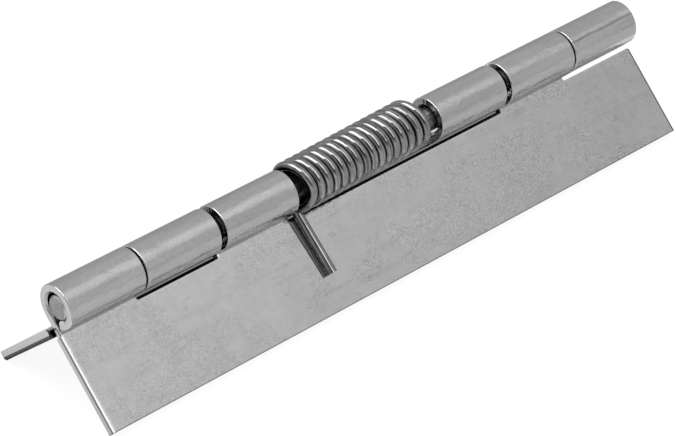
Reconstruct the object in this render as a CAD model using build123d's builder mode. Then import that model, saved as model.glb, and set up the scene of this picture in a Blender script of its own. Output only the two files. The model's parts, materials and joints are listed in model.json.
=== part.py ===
from build123d import *
from math import acos, asin, atan2, cos, degrees, hypot, radians, sin, tan
import os

# Spring loaded butt hinge with blank leaves, for welding on. Two identical
# stainless leaves are rolled round one pin, and a close wound torsion spring
# sits in the middle of the barrel with a leg on the outer face of each leaf.
# The hinge stands as a tent on the two free edges with its barrel on top.
# The pin lies along X. The origin is on the floor under its middle.

# Leaves
leaf_length = 150.0  # along the pin
leaf_width = 25.0  # pin axis to free edge
sheet = 2.0  # stainless sheet
rolled_wall = 1.75  # of the knuckles: the sheet thins as it is rolled
side_knuckles = 3  # on each side of the spring, the two leaves in turn
knuckle_gap = 0.9  # along the pin, between two neighbours in mid play
end_play = 0.5  # the leaves have slid this far apart along the pin
knuckle_relief = 0.8  # from one leaf's barrel to the edge of the other's notch
knuckle_inset = 0.25  # the end knuckle stops short of the leaf's end
seam_gap = 0.43  # from the rolled tail to the face of its own leaf
edge_rollover = 0.4  # drawn-in edge of the blank, on the side that the punch met
rim_radius = 0.25  # outer edges of the knuckles' ends, rounded by the rolling
leaf_half_angle = 47.0  # each leaf from the upright plane through the pin

# Pin
pin_diameter = 5.0
pin_clearance = 0.35  # radial, in the knuckles
pin_contact = 0.02  # the loose pin lies askew, this near to the bore at either end
pin_recess = 0.25  # from the end of the barrel to the end of the pin
pin_chamfer = 0.35

# Spring
wire_diameter = 1.95
coil_clearance = 0.89  # radial, from the pin to a coil centred on it
coil_pitch = 2.04
whole_turns = 16  # the legs add a part of a turn
coil_lift = 0.8  # each leg's reaction lifts its end of the coil off the pin
coil_end_gap = 0.55  # from the knuckle on its left to the coil
spring_bay_room = 3.75  # free length of the bay, past the coil
leg_bend_radius = 2.0  # centre line
leg_reach = 17.9  # pin axis to the leg's cut end, along the leaf
leg_lift = 0.38  # under the leg at its bend
leg_contact = 0.02  # under the leg at its cut end
leg_lean = 3.0  # degrees, towards the middle of the coil

# Sizes that follow
bore_radius = pin_diameter / 2 + pin_clearance
barrel_radius = bore_radius + rolled_wall
inner_face = bore_radius + sheet  # from the pin axis; the outer face meets the bore
notch_depth = barrel_radius + knuckle_relief
notch_corner = knuckle_gap - end_play  # fouls no knuckle of the other leaf
shoulder_depth = barrel_radius + knuckle_relief / 2  # the inset reaches down to here
coil_radius = (pin_diameter + wire_diameter) / 2 + coil_clearance
tilt = radians(leaf_half_angle)
pin_height = inner_face * sin(tilt) + leaf_width * cos(tilt)

# Directions on the front leaf: out of its outer face, and up it to the pin
outward = Vector(0, -cos(tilt), sin(tilt))
upward = Vector(0, sin(tilt), cos(tilt))
pin_middle = Vector(0, 0, pin_height)
along_pin = Vector(1, 0, 0)

# The wire leaves the coil under the pin, past its back, and bends the other
# way into the leg. That fixes where a leg starts and the coil's part turn.
leg_height = wire_diameter / 2 + leg_lift - bore_radius  # its top, from the pin axis
leave_angle = degrees(
    acos((coil_lift + leg_bend_radius - leg_height) / (coil_radius + leg_bend_radius))
)
part_turn = (180 + 2 * (leaf_half_angle + leave_angle)) % 360 / 360
coil_length = coil_pitch * (whole_turns + part_turn)
coil_skew = asin(2 * coil_lift * cos(tilt) / coil_length)

# The spring bay takes the middle of the barrel and the knuckles share the rest
spring_bay = coil_length + wire_diameter + spring_bay_room
side_length = (leaf_length - spring_bay) / 2
knuckle_step = (side_length + knuckle_gap) / side_knuckles
knuckle_length = knuckle_step - knuckle_gap

# One leaf has every other knuckle left of the bay, from its end, and right of the
# bay the ones between. Turned end for end, the same stamping fills the other places.
left_knuckles = [place * knuckle_step for place in range(0, side_knuckles, 2)]
right_knuckles = [
    leaf_length - knuckle_length - place * knuckle_step
    for place in reversed(range(1, side_knuckles, 2))
]
own_knuckles = left_knuckles + right_knuckles
leaf_start = (end_play - leaf_length) / 2


def at_leaf(along, out, up):
    """The point at a distance along the pin, out from and up the front leaf."""
    return pin_middle + along_pin * along + outward * out + upward * up


# Front leaf: one strip, with its edge rolled from the inner face over the top,
# round the pin and back under it, so that the outer face becomes the bore. Under
# a knuckle the inner face leans in from the sheet to the thinner rolled wall.
root = Vector(-inner_face, notch_depth)
roll_start = degrees(atan2(root.Y, root.X) + acos(barrel_radius / hypot(root.X, root.Y)))
roll_end = 360 + degrees(acos((seam_gap - bore_radius) / barrel_radius))
leaf_section = Plane(origin=at_leaf(leaf_start, 0, 0), x_dir=outward, z_dir=along_pin)
leaf_face = Plane(origin=at_leaf(leaf_start, 0, 0), x_dir=along_pin, z_dir=outward)
overrun = 2 * knuckle_relief  # the punch runs this far past the strip

with BuildPart() as front_leaf:
    with BuildSketch(leaf_section):
        with BuildLine():
            outside = CenterArc((0, 0), barrel_radius, roll_start, roll_end - roll_start)
            bore = CenterArc((0, 0), bore_radius, 180, roll_end - 180)
            Line(outside @ 1, bore @ 1)
            Polyline(
                outside @ 0,
                root,
                (-inner_face, leaf_width),
                (-bore_radius, leaf_width),
                bore @ 0,
            )
        make_face()
    extrude(amount=leaf_length)
    # Notches for the other leaf's knuckles and for the spring, with round corners
    with BuildSketch(leaf_face) as notches:
        notch_starts = [start + knuckle_length for start in own_knuckles]
        notch_ends = own_knuckles[1:] + [leaf_length + overrun]
        for notch_start, notch_end in zip(notch_starts, notch_ends):
            with Locations(((notch_start + notch_end) / 2, -notch_depth)):
                Rectangle(
                    notch_end - notch_start,
                    notch_depth + barrel_radius + overrun,
                    align=(Align.CENTER, Align.MIN),
                )
        fillet(notches.vertices().group_by(Axis.Y)[0], notch_corner)
    extrude(amount=barrel_radius + overrun, both=True, mode=Mode.SUBTRACT)
    # The punch drew in the outer face's edges, also where they are now bore mouths,
    # but the last end was cut from the inner face and the free edge is the mill's
    outward_axis = Axis((0, 0, 0), outward)
    outer_face = front_leaf.faces().filter_by(leaf_face).sort_by(outward_axis)[-1]
    sheared = outer_face.edges() - outer_face.edges().group_by(Axis.X)[-1]
    sheared -= outer_face.edges().group_by(Axis.Z)[0]
    last_end = front_leaf.faces().sort_by(Axis.X)[-1]
    chamfer(sheared + last_end.edges().sort_by(outward_axis)[:1], edge_rollover)
    # The end knuckle is set back a little, so its mouth gets its rollover here
    with BuildSketch(leaf_face):
        with Locations((knuckle_inset, -shoulder_depth)):
            Rectangle(
                knuckle_inset + overrun,
                shoulder_depth + barrel_radius + overrun,
                align=(Align.MAX, Align.MIN),
            )
    extrude(amount=barrel_radius + overrun, both=True, mode=Mode.SUBTRACT)
    with Locations(Plane(origin=at_leaf(leaf_start + knuckle_inset, 0, 0), z_dir=along_pin)):
        Cone(
            bore_radius + edge_rollover,
            bore_radius,
            edge_rollover,
            align=(Align.CENTER, Align.CENTER, Align.MIN),
            mode=Mode.SUBTRACT,
        )
    # The dies rounded the outer rims of the knuckles' ends
    rims = front_leaf.edges().filter_by(GeomType.CIRCLE).group_by(SortBy.RADIUS)[-1]
    fillet(rims, rim_radius)
front_leaf.part.label = "front_leaf"

# Back leaf: the same stamping, turned end for end about the upright line
with BuildPart() as back_leaf:
    add(front_leaf.part, rotation=(0, 0, 180))
back_leaf.part.label = "back_leaf"

# Hinge pin: plain round bar with chamfered ends, inside the barrel. One end has
# dropped in its bore and the other has risen as much.
pin_length = leaf_length - end_play - 2 * (knuckle_inset + pin_recess)
pin_drop = pin_clearance - pin_contact
pin_start = at_leaf(-pin_length / 2, 0, 0) - Vector(0, 0, pin_drop)
with BuildPart() as hinge_pin:
    with BuildSketch(Plane(origin=pin_start, z_dir=pin_middle - pin_start)):
        Circle(pin_diameter / 2)
    extrude(amount=pin_length)
    chamfer(hinge_pin.edges().filter_by(GeomType.CIRCLE), pin_chamfer)
hinge_pin.part.label = "hinge_pin"

# Torsion spring: a right-handed coil, loose on the pin, whose ends are bent
# into straight legs. The legs lift the coil towards their own leaf at each end,
# so its axis is a little skewed. The second leg is the first turned end for end.
coil_start = leaf_start + side_length + coil_end_gap + wire_diameter / 2
coil_middle = coil_start + coil_length / 2 * cos(coil_skew)
coil_axis = along_pin.rotate(Axis.Z, degrees(coil_skew))
start_angle = -leaf_half_angle - leave_angle
start_radius = Vector(0, 1, 0).rotate(Axis.X, start_angle).rotate(Axis.Z, degrees(coil_skew))
coil_plane = Plane(
    origin=at_leaf(coil_start, 0, 0) + outward * coil_lift,
    x_dir=start_radius,
    z_dir=coil_axis,
)

leg_top_up = -(coil_radius + leg_bend_radius) * sin(radians(leave_angle))
leg_run = leg_reach + leg_top_up
leg_top = at_leaf(coil_start, leg_height, leg_top_up)
leg_tip = at_leaf(
    coil_start + leg_run * tan(radians(leg_lean)),
    leg_height - leg_lift + leg_contact,
    -leg_reach,
)
leg_direction = (leg_tip - leg_top).normalized()


def turned(point):
    """The same point on the other leg."""
    middle = Vector(coil_middle, 0, 0)
    return (point - middle).rotate(Axis.Z, 180) + middle


with BuildPart() as torsion_spring:
    with BuildLine() as wire_path:
        add(coil_plane.location * Edge.make_helix(coil_pitch, coil_length, coil_radius))
        coil = wire_path.edges()[0]
        Spline(coil @ 0, leg_top, tangents=(-(coil % 0), leg_direction))
        Line(leg_top, leg_tip)
        Spline(coil @ 1, turned(leg_top), tangents=(coil % 1, leg_direction.rotate(Axis.Z, 180)))
        Line(turned(leg_top), turned(leg_tip))
    with BuildSketch(Plane(origin=leg_tip, z_dir=-leg_direction)):
        Circle(wire_diameter / 2)
    sweep(path=wire_path.wires()[0])
torsion_spring.part.label = "torsion_spring"

os.makedirs("parts", exist_ok=True)
export_step(front_leaf.part, "parts/front_leaf.step")
export_step(back_leaf.part, "parts/back_leaf.step")
export_step(hinge_pin.part, "parts/hinge_pin.step")
export_step(torsion_spring.part, "parts/torsion_spring.step")
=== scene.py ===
import json
from math import acos, cos, pi, radians, sin, sqrt, tan

import bpy
from mathutils import Matrix, Vector


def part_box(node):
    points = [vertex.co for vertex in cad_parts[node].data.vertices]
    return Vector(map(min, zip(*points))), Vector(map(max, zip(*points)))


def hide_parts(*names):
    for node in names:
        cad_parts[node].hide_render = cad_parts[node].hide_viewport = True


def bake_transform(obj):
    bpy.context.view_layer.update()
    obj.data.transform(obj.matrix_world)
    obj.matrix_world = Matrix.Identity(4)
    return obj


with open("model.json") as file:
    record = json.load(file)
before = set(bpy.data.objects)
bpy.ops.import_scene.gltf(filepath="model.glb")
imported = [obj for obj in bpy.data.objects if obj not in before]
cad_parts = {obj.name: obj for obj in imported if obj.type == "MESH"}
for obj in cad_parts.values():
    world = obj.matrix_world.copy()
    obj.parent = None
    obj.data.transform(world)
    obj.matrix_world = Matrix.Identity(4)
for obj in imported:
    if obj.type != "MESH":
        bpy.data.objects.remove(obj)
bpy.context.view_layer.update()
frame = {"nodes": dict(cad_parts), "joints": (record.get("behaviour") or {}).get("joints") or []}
MM = 0.001
pin_axis = Vector(frame["joints"][0]["pos_m"])  # its middle, over the origin


# Studio: a sweep of pale paper under the hinge, inside a light tent, with two long
# lamps. The tent is brighter beside the front lamp, and darker on the left and on the
# camera's side. The camera sees white paper but for the shade between the leaves,
# where the paper is painted darker as painted shade.
class Value:
    """A node's output that takes part in sums. Each operator adds the node for it."""

    def __init__(self, tree, socket):
        self.tree, self.socket = tree, socket

    def __add__(self, other):
        return self.tree.math("ADD", self, other)

    def __sub__(self, other):
        return self.tree.math("SUBTRACT", self, other)

    def __rsub__(self, other):
        return self.tree.math("SUBTRACT", other, self)

    def __mul__(self, other):
        return self.tree.math("MULTIPLY", self, other)

    def __truediv__(self, other):
        return self.tree.math("DIVIDE", self, other)

    def __pow__(self, other):
        return self.tree.math("POWER", self, other)

    def __gt__(self, other):
        return self.tree.math("GREATER_THAN", self, other)

    def __lt__(self, other):
        return self.tree.math("LESS_THAN", self, other)

    def __abs__(self):
        return self.tree.math("ABSOLUTE", self)

    __radd__, __rmul__ = __add__, __mul__


class Tree:
    """A node tree that is filled one node at a time."""

    def __init__(self, group):
        self.group = group
        group.nodes.clear()

    def node(self, kind, sockets=None, captures=(), **settings):
        """Adds a node and returns its outputs by name. A list feeds one socket together."""
        made = self.group.nodes.new(kind)
        for name, setting in settings.items():
            setattr(made, name, setting)
        for name in captures:
            made.capture_items.new("FLOAT", name)
        for name, values in (sockets or {}).items():
            for value in values if isinstance(values, list) else [values]:
                if isinstance(value, Value):
                    self.group.links.new(value.socket, made.inputs[name])
                else:
                    made.inputs[name].default_value = value
        return {out.name: Value(self, out) for out in made.outputs if out.enabled}

    def math(self, operation, *values):
        sockets = dict(enumerate(values))
        return self.node("ShaderNodeMath", sockets, operation=operation)["Value"]

    def vector_math(self, operation, *vectors):
        """Both outputs of a Vector Math node, of which one holds the result."""
        sockets = dict(enumerate(vectors))
        return self.node("ShaderNodeVectorMath", sockets, operation=operation)

    def rise(self, value, start, end, shape="LINEAR"):
        """0 up to the start, 1 from the end on, and between them in between."""
        sockets = {"Value": value, "From Min": start, "From Max": end}
        return self.node("ShaderNodeMapRange", sockets, interpolation_type=shape)["Result"]

    def apart(self, vector):
        """The X, Y and Z of a vector, by name."""
        return self.node("ShaderNodeSeparateXYZ", {"Vector": vector})

    def together(self, **axes):
        return self.node("ShaderNodeCombineXYZ", axes)["Vector"]


class Paint(Tree):
    """The tree of a material or of the world."""

    def __init__(self, owner):
        owner.use_nodes = True
        super().__init__(owner.node_tree)
        self.owner = owner

    def grey(self, level):
        """A neutral colour whose three channels are one level."""
        sockets = {"Red": level, "Green": level, "Blue": level}
        return self.node("ShaderNodeCombineColor", sockets)["Color"]

    def camera_sees(self, shown, otherwise):
        """One shader for the camera, and another for what the metal mirrors."""
        seen = self.node("ShaderNodeLightPath")["Is Camera Ray"]
        sockets = {"Fac": seen, 1: otherwise, 2: shown}
        return self.node("ShaderNodeMixShader", sockets)["Shader"]


tent = Paint(bpy.data.worlds.new("light_tent"))
bpy.context.scene.world = tent.owner
sky = tent.node("ShaderNodeTexCoord")["Generated"]


def tent_patch(direction, start, end):
    """A round patch of the tent in that direction, by the cosine at its rim and inside."""
    cosine = tent.vector_math("DOT_PRODUCT", sky, Vector(direction).normalized())["Value"]
    return tent.rise(cosine, start, end)


beside_lamp = tent_patch((0.32, -0.35, 0.88), 0.895, 0.965)
dark_side = tent_patch((-0.8, -0.4, 0.45), 0.45, 0.88)
camera_side = tent_patch((-0.35, -0.8, 0.45), 0.87, 0.96)
tent_level = 0.7 + beside_lamp * 0.4 - dark_side * 0.25 - camera_side * 0.4
tent_wall = tent.node("ShaderNodeBackground", {"Color": tent.grey(tent_level)})["Background"]
white_wall = tent.node("ShaderNodeBackground", {"Color": (1, 1, 1, 1)})["Background"]
tent.node("ShaderNodeOutputWorld", {"Surface": tent.camera_sees(white_wall, tent_wall)})


def soft_box(name, direction, towards, width, height, watts):
    """A lamp a metre from the hinge in that direction, its width running towards a point."""
    lamp = bpy.data.lights.new(name, "AREA")
    lamp.shape = "RECTANGLE"
    lamp.size, lamp.size_y = width, height
    lamp.energy = watts
    box = bpy.data.objects.new(name, lamp)
    back = Vector(direction).normalized()
    side = (Vector(towards) - back * back.dot(Vector(towards))).normalized()
    turn = Matrix((side, back.cross(side), back)).transposed().to_4x4()
    box.matrix_world = Matrix.Translation(back) @ turn
    bpy.context.scene.collection.objects.link(box)


soft_box("back_lamp", (-0.36, 0.22, 0.9), (-0.43, -0.25, 0.87), 1.0, 0.65, 7.8)
soft_box("front_lamp", (0.0, -0.58, 0.81), (0.0, -0.88, 0.47), 1.1, 0.36, 2.5)

sweep_reach = 1.5
sweep_mesh = bpy.data.meshes.new("white_sweep")
corners = [(x * sweep_reach, y * sweep_reach, 0) for x, y in ((-1, -1), (1, -1), (1, 1), (-1, 1))]
sweep_mesh.from_pydata(corners, [], [(0, 1, 2, 3)])
white_sweep = bpy.data.objects.new("white_sweep", sweep_mesh)
bpy.context.scene.collection.objects.link(white_sweep)

sweep = Paint(bpy.data.materials.new("sweep_paper"))
paper = sweep.node("ShaderNodeBsdfDiffuse", {"Color": (0.6, 0.6, 0.6, 1)})["BSDF"]
plain_white = sweep.node("ShaderNodeEmission", {"Color": (1, 1, 1, 1)})["Emission"]
place = sweep.apart(sweep.node("ShaderNodeTexCoord")["Object"])
shade_middle = 5 * MM  # it reaches further towards the last knuckles


def out_of_shade(distance, start, end):
    """0 up to the start, 1 from the end on, by a colour ramp over 100 mm."""
    level = sweep.node("ShaderNodeValToRGB", {"Fac": distance * 10})["Color"]
    rim, white = level.socket.node.color_ramp.elements
    rim.position, white.position = start * 10, end * 10
    return level


beyond_ends = out_of_shade(abs(place["X"] - shade_middle), 55 * MM, 63 * MM)
beyond_feet = out_of_shade(abs(place["Y"]), 14.2 * MM, 14.9 * MM)
outside = sweep.math("MAXIMUM", beyond_ends, beyond_feet)
# painted shade: the paper's colour is 0.25 within the hinge's shade and 1.2 beyond it
painted_shade_paper = sweep.node("ShaderNodeBsdfDiffuse", {"Color": sweep.grey(outside * 0.95 + 0.25)})["BSDF"]
whitened = {"Fac": outside * 0.93, 1: painted_shade_paper, 2: plain_white}
whitened = sweep.node("ShaderNodeMixShader", whitened)["Shader"]
sweep.node("ShaderNodeOutputMaterial", {"Surface": sweep.camera_sees(whitened, paper)})
sweep_mesh.materials.append(sweep.owner)

# Camera: a long lens, well back, that looks down on the hinge from its left end and
# is rolled a little, so that the barrel rises across the picture to the right.
photo_width = 676
sensor_width = 36.0
focal_pixels = 3310.14
azimuth, elevation, roll = radians(-43.58), radians(35.36), radians(1.39)
distance = 645.8 * MM
aim = pin_axis + Vector((-4.5, 0, -12.8)) * MM

swung = Matrix.Rotation(azimuth, 3, "Z")
towards_camera = swung @ Vector((0, -cos(elevation), sin(elevation)))
level_right = swung @ Vector((1, 0, 0))
right = level_right * cos(roll) + towards_camera.cross(level_right) * sin(roll)
up = towards_camera.cross(right)
camera_data = bpy.data.cameras.new("camera")
camera_data.sensor_width = sensor_width
camera_data.lens = focal_pixels / photo_width * sensor_width
camera_data.clip_start, camera_data.clip_end = 0.05, 20
camera = bpy.data.objects.new("camera", camera_data)
turn = Matrix((right, up, towards_camera)).transposed().to_4x4()
camera.matrix_world = Matrix.Translation(aim + towards_camera * distance) @ turn
bpy.context.scene.collection.objects.link(camera)
bpy.context.scene.camera = camera
bpy.context.scene.view_settings.view_transform = "Standard"

# Leaves: two like stampings in cold-rolled stainless sheet, each with its edge
# rolled into knuckles. The flat keeps the mill's cloudy grey and the marks of
# handling, and the rolling dies left long soft streaks along the knuckles.
leaf_length = 150 * MM
leaf_width = 25 * MM  # pin axis to free edge
leaf_half_angle = radians(47)  # each leaf from the upright plane through the pin
sheet = 2 * MM
barrel_radius = 4.6 * MM
bore_radius = 2.85 * MM  # and the outer face of a leaf, from the pin axis
end_play = 0.5 * MM  # the leaves have slid this far apart along the pin
last_knuckle = 57 * MM  # starts about here, from the middle
spring_bay = 75 * MM  # and some of the knuckles beside it
edge_rollover = 0.4 * MM  # edge that the punch drew in, on the outer face
notch_tilt = 0.9  # share of its plain slope that a rollover loses round the notches
end_tilt = 0.62  # and across the leaf, where it is rounder
lip_width, lip_tilt = 0.1 * MM, 0.28  # the start of a rounder one loses more
droop_reach, droop_tilt = 0.9 * MM, 0.252  # the leaf's first end droops towards its edge
relief_unit = 0.01 * MM  # a bump height of 1
sheet_level = 0.47  # of the light that clean sheet gives back


def noise(paint, vector, scale, detail=2.0, roughness=0.5, distortion=0.0):
    """Cloudy noise round 0, from about -0.5 to 0.5."""
    sockets = {"Vector": vector, "Scale": scale, "Detail": detail}
    sockets |= {"Roughness": roughness, "Distortion": distortion}
    return paint.node("ShaderNodeTexNoise", sockets)["Fac"] - 0.5


def streaks(paint, vector, scale, detail=3.0, roughness=0.6, distortion=0.0, moved=(0, 0, 0)):
    """Noise with a scale of its own along each axis, long where that is small."""
    sockets = {"Vector": vector, "Scale": scale, "Location": moved}
    skin = paint.node("ShaderNodeMapping", sockets)["Vector"]
    return noise(paint, skin, 1.0, detail, roughness, distortion)


def bare_metal(name, finish):
    """A metal whose finish(paint, at) gives its level, roughness and bump height."""
    paint = Paint(bpy.data.materials.new(name))
    at = paint.node("ShaderNodeTexCoord")["Object"]
    level, rough, height = finish(paint, at)
    relief = {"Strength": 1.0, "Distance": relief_unit, "Height": height}
    sockets = {"Base Color": paint.grey(level), "Metallic": 1.0, "Roughness": rough}
    sockets["Normal"] = paint.node("ShaderNodeBump", relief)["Normal"]
    sockets["Specular Tint"] = (0.6, 0.6, 0.6, 1)
    metal = paint.node("ShaderNodeBsdfPrincipled", sockets)["BSDF"]
    paint.node("ShaderNodeOutputMaterial", {"Surface": metal})
    return paint.owner


def scratches(paint, at, angle, moved, rarity):
    """Thin straight marks that lie one way on the leaves, 1 on a mark and 0 off it."""
    turned = paint.node("ShaderNodeMapping", {"Vector": at, "Rotation": (0, 0, angle)})["Vector"]
    marks = streaks(paint, turned, (60, 2200, 2200), 1.0, 0.5, moved=moved)
    return paint.rise(marks, rarity, rarity + 0.05)


def mill_finish(paint, at):
    """The flat of a leaf: clouds, patches of fine ripple, specks, rub lines and scratches."""
    cloud = noise(paint, at, 60, 3.0, 0.55)
    mottle = noise(paint, at, 330, 4.0, 0.65, 1.2)
    grain = noise(paint, at, 3000, 2.0, 0.6)
    ripple = noise(paint, at, 1100, 1.0, 0.5, 3.0)
    rippled = paint.rise(noise(paint, at, 85, 2.0, 0.5, 0.6), -0.03, 0.06)
    specks = paint.rise(noise(paint, at, 420), 0.16, 0.24)
    rubs = paint.rise(streaks(paint, at, (22, 480, 480)), 0.06, 0.2)
    marks = scratches(paint, at, radians(12), (3, 0, 0), 0.2)
    marks = marks + scratches(paint, at, radians(-50), (0, 7, 0), 0.21)
    worn = paint.apart(at)["X"] * 6 + 0.75  # more towards the last knuckles
    worn = worn * (0.3 + rippled * 0.7)
    level = 1.07 + cloud * 0.22 + mottle * 0.32 + grain * worn
    level = level + rippled * (ripple * 0.7 - 0.04)
    level = level - specks * 0.13 - rubs * 0.1 - marks * 0.14
    rough = 0.07 + mottle * 0.06 + rippled * 0.03 + rubs * 0.04
    relief = cloud * 1.5 + mottle * 0.3 + grain * 0.12 + rippled * ripple * 0.2
    return level, rough, relief


def rolled_finish(paint, at, around):
    """A knuckle: streaks along it from the dies, over a slightly wavy skin."""
    along = paint.apart(at)["X"]
    skin = paint.together(X=along, Y=around)
    fine = streaks(paint, skin, (45, 1300, 1))
    broad = streaks(paint, skin, (38, 330, 1), distortion=0.4)
    wave = streaks(paint, skin, (110, 230, 1), roughness=0.55, distortion=0.8)
    grain = noise(paint, at, 1500, 2.0, 0.6)
    from_rub = abs(around - radians(40) * barrel_radius - wave * (0.6 * MM))
    rub = (1 - paint.rise(from_rub, 0.1 * MM, 0.45 * MM)) * (along > last_knuckle) * 0.4
    level = (1 + fine * 0.2 + broad * 0.35 + grain * 0.3) * (1 - rub)
    rough = 0.2 + broad * 0.2 + fine * 0.1
    return level, rough, wave * 20.0 + fine * 0.5 + grain * 0.6


def sheet_finish(paint, at):
    """A whole leaf: its flat, its knuckles, its cut faces and its drawn-in edges."""
    place = paint.apart(at)
    from_middle = abs(place["X"])
    side, drop = abs(place["Y"]), place["Z"] - pin_axis.z
    radius = (side * side + drop * drop) ** 0.5
    rolled = radius < barrel_radius + 0.1 * MM
    around = paint.math("ARCTAN2", 0 - place["Y"], drop) * barrel_radius  # from the top
    down = side * sin(leaf_half_angle) - drop * cos(leaf_half_angle)  # from the pin
    depth = side * cos(leaf_half_angle) + drop * sin(leaf_half_angle)  # out of the leaf
    depth = depth + rolled * (radius - depth)
    across = abs(paint.apart(paint.node("ShaderNodeTexCoord")["Normal"])["X"])
    cut = across > 0.9
    last_end = from_middle > leaf_length / 2

    level, rough, relief = mill_finish(paint, at)
    die_level, die_rough, die_relief = rolled_finish(paint, at, around)
    level = level + rolled * (die_level - level)
    rough = rough + rolled * (die_rough - rough)
    relief = relief + rolled * (die_relief - relief)

    # Cut faces, brighter, with layers and a painted dark reflection line beside the drawn-in edge
    sheared = streaks(paint, paint.together(X=depth, Y=place["Y"]), (2600, 90, 1))
    from_outer = -bore_radius - depth
    from_inner = depth + (bore_radius + sheet)
    from_rollover = from_outer + last_end * (from_inner - from_outer)
    # painted reflection: a dark line painted on the cut face beside the drawn-in edge
    painted_dark_reflection = (from_rollover > edge_rollover) * (from_rollover < 2 * edge_rollover)
    cut_level = (1.4 + sheared * 0.7) * (1 - painted_dark_reflection * (1 - rolled) * 0.8)
    level = level + cut * (cut_level - level)
    rough = rough + cut * (0.18 - rough)

    # Drawn-in edges, rounder than their plain slope, with a painted dark line along their foot:
    # painted reflection at the leaf's ends and painted shade at the notches
    flat = (1 - cut) * (1 - rolled)
    slope = (from_outer > relief_unit) * (from_outer < edge_rollover) * flat
    end_slope = slope * (across > 0.6) * (1 - last_end)
    tilt = notch_tilt + end_slope * (end_tilt - notch_tilt)
    lip = paint.math("MINIMUM", from_outer, lip_width)
    rounding = (slope * from_outer * tilt + end_slope * lip * lip_tilt) * sqrt(2)
    to_end = (leaf_length - end_play) / 2 - place["X"] * paint.math("SIGN", place["Y"])
    drooping = paint.math("MAXIMUM", droop_reach - to_end, 0.0) * flat
    droop = drooping * drooping * (droop_tilt / (2 * droop_reach)) * (1 - slope)
    relief = relief + (rounding - droop) * (1 / relief_unit)
    rough = rough + end_slope * 0.08
    # painted reflection: the foot of the end rollovers is painted darker
    level = level * (1 - end_slope * (from_outer > 0.25 * MM) * 0.6)
    # painted shade: the foot of the notch rollovers, under the other leaf's knuckles, is painted
    # darker
    level = level * (1 - (slope - end_slope) * (from_outer > 0.3 * MM) * 0.4)

    # Painted light low on the knuckles, and painted shade on the knuckles' cut ends in the
    # spring's bay and along the burrs
    # painted light: the knuckles are painted lighter low down, from about 95 degrees below their
    # top
    painted_underlight = paint.rise(around, radians(95.4) * barrel_radius, radians(104.4) * barrel_radius)
    level = level * (1 + painted_underlight * rolled * (1 - cut) * 0.85)
    # painted shade: the knuckles' cut ends in and beside the spring's bay are painted darker
    level = level * (1 - cut * rolled * (from_middle < spring_bay / 2) * 0.55)
    # painted shade: thin dark lines along the free edge and along the flat at the last end
    painted_burr_shade = down > leaf_width - 0.18 * MM
    painted_end_burr_shade = (1 - cut) * (from_middle > leaf_length / 2 - 0.05 * MM)
    level = level * (1 - painted_burr_shade * 0.5) * (1 - painted_end_burr_shade * 0.8)
    return level * sheet_level, rough, relief


leaf_steel = bare_metal("leaf_steel", sheet_finish)
for leaf in ("front_leaf", "back_leaf"):
    frame["nodes"][leaf].material_slots[0].material = leaf_steel


# Hinge pin: plain drawn bar, sawn off and chamfered, so that its end faces are
# matt and a little mottled and its side has fine lines along it. It is loose in
# the knuckles and has no head.
def bar_finish(paint, at):
    """Mottled ends, chamfers lighter as a painted highlight, and a side painted darker as painted
    shade, with the lines of drawing.
    """
    drawn = streaks(paint, at, (120, 1800, 1800))
    mottle = noise(paint, at, 700, 3.0, 0.65)
    across = abs(paint.apart(paint.node("ShaderNodeTexCoord")["Normal"])["X"])
    # painted highlight: the chamfers are painted lighter below
    painted_chamfer_highlight = (across > 0.5) * (across < 0.9)
    side = across < 0.5
    level = 1 + drawn * (0.4 + side * 2.0) + mottle * 0.9 + painted_chamfer_highlight * 0.5
    # painted shade: the side, which shows only in the spring's bay, is painted darker
    return level * (0.36 - side * 0.12), 0.3 + mottle * 0.2, drawn * 0.4 + mottle * 1.5


frame["nodes"]["hinge_pin"].material_slots[0].material = bare_metal("pin_steel", bar_finish)

# Torsion spring: hard drawn wire, close wound in a right-handed coil of sixteen
# turns, loose on the pin. At each end the wire bends out, away from the coil,
# into a straight leg that presses on the outer face of its own leaf.
wire_diameter = 1.95 * MM
coil_radius = 4.365 * MM  # of the wire's centre line
coil_pitch = 2.04 * MM
whole_turns = 16  # the legs add a part of a turn
coil_lift = 0.8 * MM  # each end of the coil is lifted towards its own leaf
leg_bend_radius = 2.0 * MM
leg_reach = 17.9 * MM  # pin axis to the leg's cut end, along the leaf
leg_lift = 0.38 * MM  # under the leg at its bend
leg_contact = 0.02 * MM  # under the leg at its cut end
leg_lean = radians(3)
left_opening = 0.1 * MM  # the left leg and its end of the coil stand off by this
right_opening = 0.4 * MM  # and the right ones
coil_lean = 0.262  # the turns lean along the pin, by this share of their height
lean_towards = radians(110)  # furthest to the right here, from the top over the front
spring_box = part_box("torsion_spring")

outward = Vector((0, -cos(leaf_half_angle), sin(leaf_half_angle)))
upward = Vector((0, sin(leaf_half_angle), cos(leaf_half_angle)))
leg_height = wire_diameter / 2 + leg_lift - bore_radius
leave_angle = acos((coil_lift + leg_bend_radius - leg_height) / (coil_radius + leg_bend_radius))
turns = whole_turns + (pi + 2 * (leaf_half_angle + leave_angle)) % (2 * pi) / (2 * pi)
coil_length = coil_pitch * turns
skew = 2 * coil_lift * cos(leaf_half_angle) / coil_length  # the coil's axis, from the pin's
coil_middle = (spring_box[0].x + spring_box[1].x) / 2
coil_start = Vector((coil_middle - coil_length / 2, 0, pin_axis.z)) + outward * coil_lift
coil_axis = Vector((cos(skew), sin(skew), 0))
leave = -leaf_half_angle - leave_angle
coil_side = Matrix.Rotation(skew, 3, "Z") @ Vector((0, cos(leave), sin(leave)))
coil_turn = Matrix((coil_side, coil_axis.cross(coil_side), coil_axis)).transposed()

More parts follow.
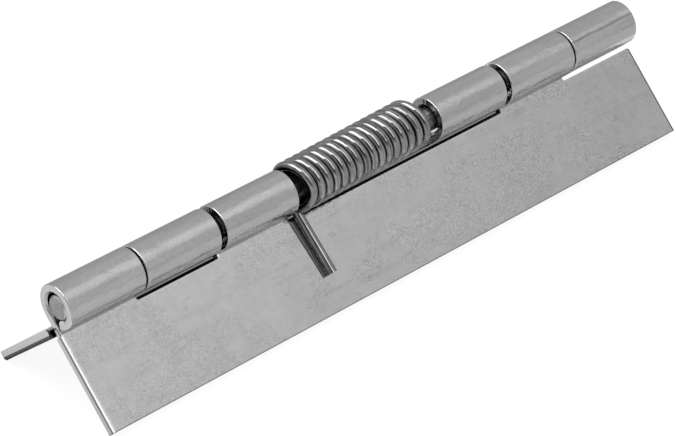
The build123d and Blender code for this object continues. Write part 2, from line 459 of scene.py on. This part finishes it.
leg_top_up = -(coil_radius + leg_bend_radius) * sin(leave_angle)
leg_run = leg_reach + leg_top_up
leg_foot = Vector((coil_start.x, 0, pin_axis.z))
leg_top = leg_foot + outward * leg_height + upward * leg_top_up
leg_tip = leg_foot + outward * (leg_height - leg_lift + leg_contact) - upward * leg_reach
leg_tip.x += leg_run * tan(leg_lean)
coil_end = coil_start + coil_side * coil_radius
climb = coil_pitch / (2 * pi * coil_radius)
wire_heading = (coil_axis.cross(coil_side) + coil_axis * climb).normalized()
leg_heading = (leg_tip - leg_top).normalized()
handle = 4 / 3 * tan(leave_angle / 4) * leg_bend_radius  # of a Bezier arc

sizes = {
    "Wire Radius": wire_diameter / 2,
    "Coil Radius": coil_radius,
    "Coil Length": coil_length,
    "Turns": turns,
    "Coil Start": coil_start,
    "Coil Turn": Vector(coil_turn.to_euler()),
    "Coil Middle": coil_middle,
    "Coil End": coil_end,
    "Bend Out": coil_end - wire_heading * handle,
    "Bend In": leg_top - leg_heading * handle,
    "Leg Top": leg_top,
    "Leg Tip": leg_tip,
    "Leg Length": leg_run + leg_bend_radius * leave_angle,
    "Turn Length": 2 * pi * coil_radius,
    "Left Opening": left_opening,
    "Right Opening": right_opening,
    "Opened Turns": 3.5,
    "Lean": Vector((0, -sin(lean_towards), cos(lean_towards))) * coil_lean,
    "Unleaned Turn": 0.3,
    "Pin Middle": pin_axis,
    "Segments In A Turn": 72,
    "Segments In A Bend": 12,
    "Wire Sides": 28,
}
winder = Tree(bpy.data.node_groups.new("wind_spring", "GeometryNodeTree"))
interface = winder.group.interface
interface.new_socket("Geometry", in_out="OUTPUT", socket_type="NodeSocketGeometry")
kinds = {float: "NodeSocketFloat", int: "NodeSocketInt", Vector: "NodeSocketVector"}
identifiers = {
    name: interface.new_socket(name, in_out="INPUT", socket_type=kinds[type(size)]).identifier
    for name, size in sizes.items()
}
given = winder.node("NodeGroupInput")

# The path of the wire: the coil, and a leg that is turned end for end into the other
spiral = winder.node(
    "GeometryNodeCurveSpiral",
    {
        "Resolution": given["Segments In A Turn"],
        "Rotations": given["Turns"],
        "Start Radius": given["Coil Radius"],
        "End Radius": given["Coil Radius"],
        "Height": given["Coil Length"],
    },
)
coil = winder.node(
    "GeometryNodeTransform",
    {
        "Geometry": spiral["Curve"],
        "Translation": given["Coil Start"],
        "Rotation": given["Coil Turn"],
    },
)
bend = winder.node(
    "GeometryNodeCurvePrimitiveBezierSegment",
    {
        "Resolution": given["Segments In A Bend"],
        "Start": given["Coil End"],
        "Start Handle": given["Bend Out"],
        "End Handle": given["Bend In"],
        "End": given["Leg Top"],
    },
    mode="POSITION",
)
straight = {"Start": given["Leg Top"], "End": given["Leg Tip"]}
straight = winder.node("GeometryNodeCurvePrimitiveLine", straight)
leg = winder.node("GeometryNodeJoinGeometry", {"Geometry": [straight["Curve"], bend["Curve"]]})
far_end = winder.together(X=given["Coil Middle"] * 2)
other_leg = {"Geometry": leg["Geometry"], "Translation": far_end, "Rotation": (0, 0, pi)}
other_leg = winder.node("GeometryNodeTransform", other_leg)
runs = [run["Geometry"] for run in (coil, leg, other_leg)]
chain = winder.node("GeometryNodeJoinGeometry", {"Geometry": runs})["Geometry"]
chain = winder.node("GeometryNodeCurveToMesh", {"Curve": chain})["Mesh"]
joined = {"Geometry": chain, "Distance": given["Wire Radius"] * 0.01}
joined = winder.node("GeometryNodeMergeByDistance", joined)["Geometry"]
path = winder.node("GeometryNodeMeshToCurve", {"Mesh": joined})["Curve"]

# The turns lean, and those at either end are opened
along = winder.node("GeometryNodeSplineParameter")["Length"]
whole_length = winder.node("GeometryNodeCurveLength", {"Curve": path})["Length"]
from_tip = winder.math("MINIMUM", along, whole_length - along)
turns_in = (from_tip - given["Leg Length"]) / given["Turn Length"]
leaning = winder.rise(turns_in, 0.0, given["Unleaned Turn"], "SMOOTHSTEP")
closing = winder.rise(turns_in, given["Unleaned Turn"], given["Opened Turns"], "SMOOTHSTEP")
position = winder.node("GeometryNodeInputPosition")["Position"]
from_pin = winder.vector_math("SUBTRACT", position, given["Pin Middle"])["Vector"]
lean_shift = winder.vector_math("DOT_PRODUCT", from_pin, given["Lean"])["Value"] * leaning
on_right = winder.apart(position)["X"] > given["Coil Middle"]
opening = on_right * (given["Left Opening"] + given["Right Opening"]) - given["Left Opening"]
shift = winder.together(X=opening * (1 - closing) + lean_shift)
path = winder.node("GeometryNodeSetPosition", {"Geometry": path, "Offset": shift})["Geometry"]

# The wire round it, with its length and its girth kept for the finish
path = {"Geometry": path, "Along": along}
path = winder.node("GeometryNodeCaptureAttribute", path, ["Along"])
ring = {"Resolution": given["Wire Sides"], "Radius": given["Wire Radius"]}
ring = winder.node("GeometryNodeCurvePrimitiveCircle", ring)["Curve"]
ring = {"Geometry": ring, "Around": winder.node("GeometryNodeSplineParameter")["Factor"]}
ring = winder.node("GeometryNodeCaptureAttribute", ring, ["Around"])
wire = {"Curve": path["Geometry"], "Profile Curve": ring["Geometry"], "Fill Caps": True}
wire = winder.node("GeometryNodeCurveToMesh", wire)["Mesh"]
wire_map = winder.together(X=path["Along"], Y=ring["Around"])
wire = winder.node(
    "GeometryNodeStoreNamedAttribute",
    {"Geometry": wire, "Name": "wire_map", "Value": wire_map},
    data_type="FLOAT_VECTOR",
    domain="POINT",
)["Geometry"]
wire = winder.node("GeometryNodeSetShadeSmooth", {"Geometry": wire})["Geometry"]
wire = winder.node("GeometryNodeRealizeInstances", {"Geometry": wire})["Geometry"]


def wire_finish(paint, at):
    """Fine lines along the wire, painted shade between the turns, and painted light on its
    underside.
    """
    skin = paint.node("ShaderNodeAttribute", attribute_name="wire_map")["Vector"]
    drawn = streaks(paint, skin, (70, 14, 1))
    grain = noise(paint, at, 900, 3.0, 0.6)
    place = paint.apart(at)
    side, drop = place["Y"], place["Z"] - pin_axis.z
    facing = paint.apart(paint.node("ShaderNodeTexCoord")["Normal"])
    # painted light: the wire's underside is painted lighter
    painted_underlight = paint.rise(0 - facing["Z"], 0.0, 0.5)
    coiled = (side * side + drop * drop) ** 0.5 < coil_radius + wire_diameter * 0.6
    # painted shade: the wire is painted darker where the turns meet
    painted_turn_shade = paint.rise(abs(facing["X"]), 0.86, 0.98) * coiled
    level = (1 + drawn * 2.8 + grain * 0.8) * (1 - painted_turn_shade * 0.9) * (1 + painted_underlight * 1.3) * 0.26
    return level, 0.1 + drawn * 0.1, drawn * 3.0 + grain * 0.2


wire = {"Geometry": wire, "Material": bare_metal("spring_wire", wire_finish)}
wire = winder.node("GeometryNodeSetMaterial", wire)["Geometry"]
winder.node("NodeGroupOutput", {"Geometry": wire})

seed = bpy.data.objects.new("spring_seed", bpy.data.meshes.new("spring_seed"))
bpy.context.scene.collection.objects.link(seed)
winding = seed.modifiers.new("wind_spring", "NODES")
winding.node_group = winder.group
for name, size in sizes.items():
    winding[identifiers[name]] = size
bpy.context.view_layer.update()
wound = seed.evaluated_get(bpy.context.evaluated_depsgraph_get())
spring_mesh = bpy.data.meshes.new_from_object(wound)
spring_mesh.name = "torsion_spring_wire"
bpy.data.objects.remove(seed)
spring = bpy.data.objects.new("torsion_spring_wire", spring_mesh)
bpy.context.scene.collection.objects.link(spring)
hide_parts("torsion_spring")
last_turn = coil_start + coil_axis * (coil_length - coil_pitch)
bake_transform(spring)
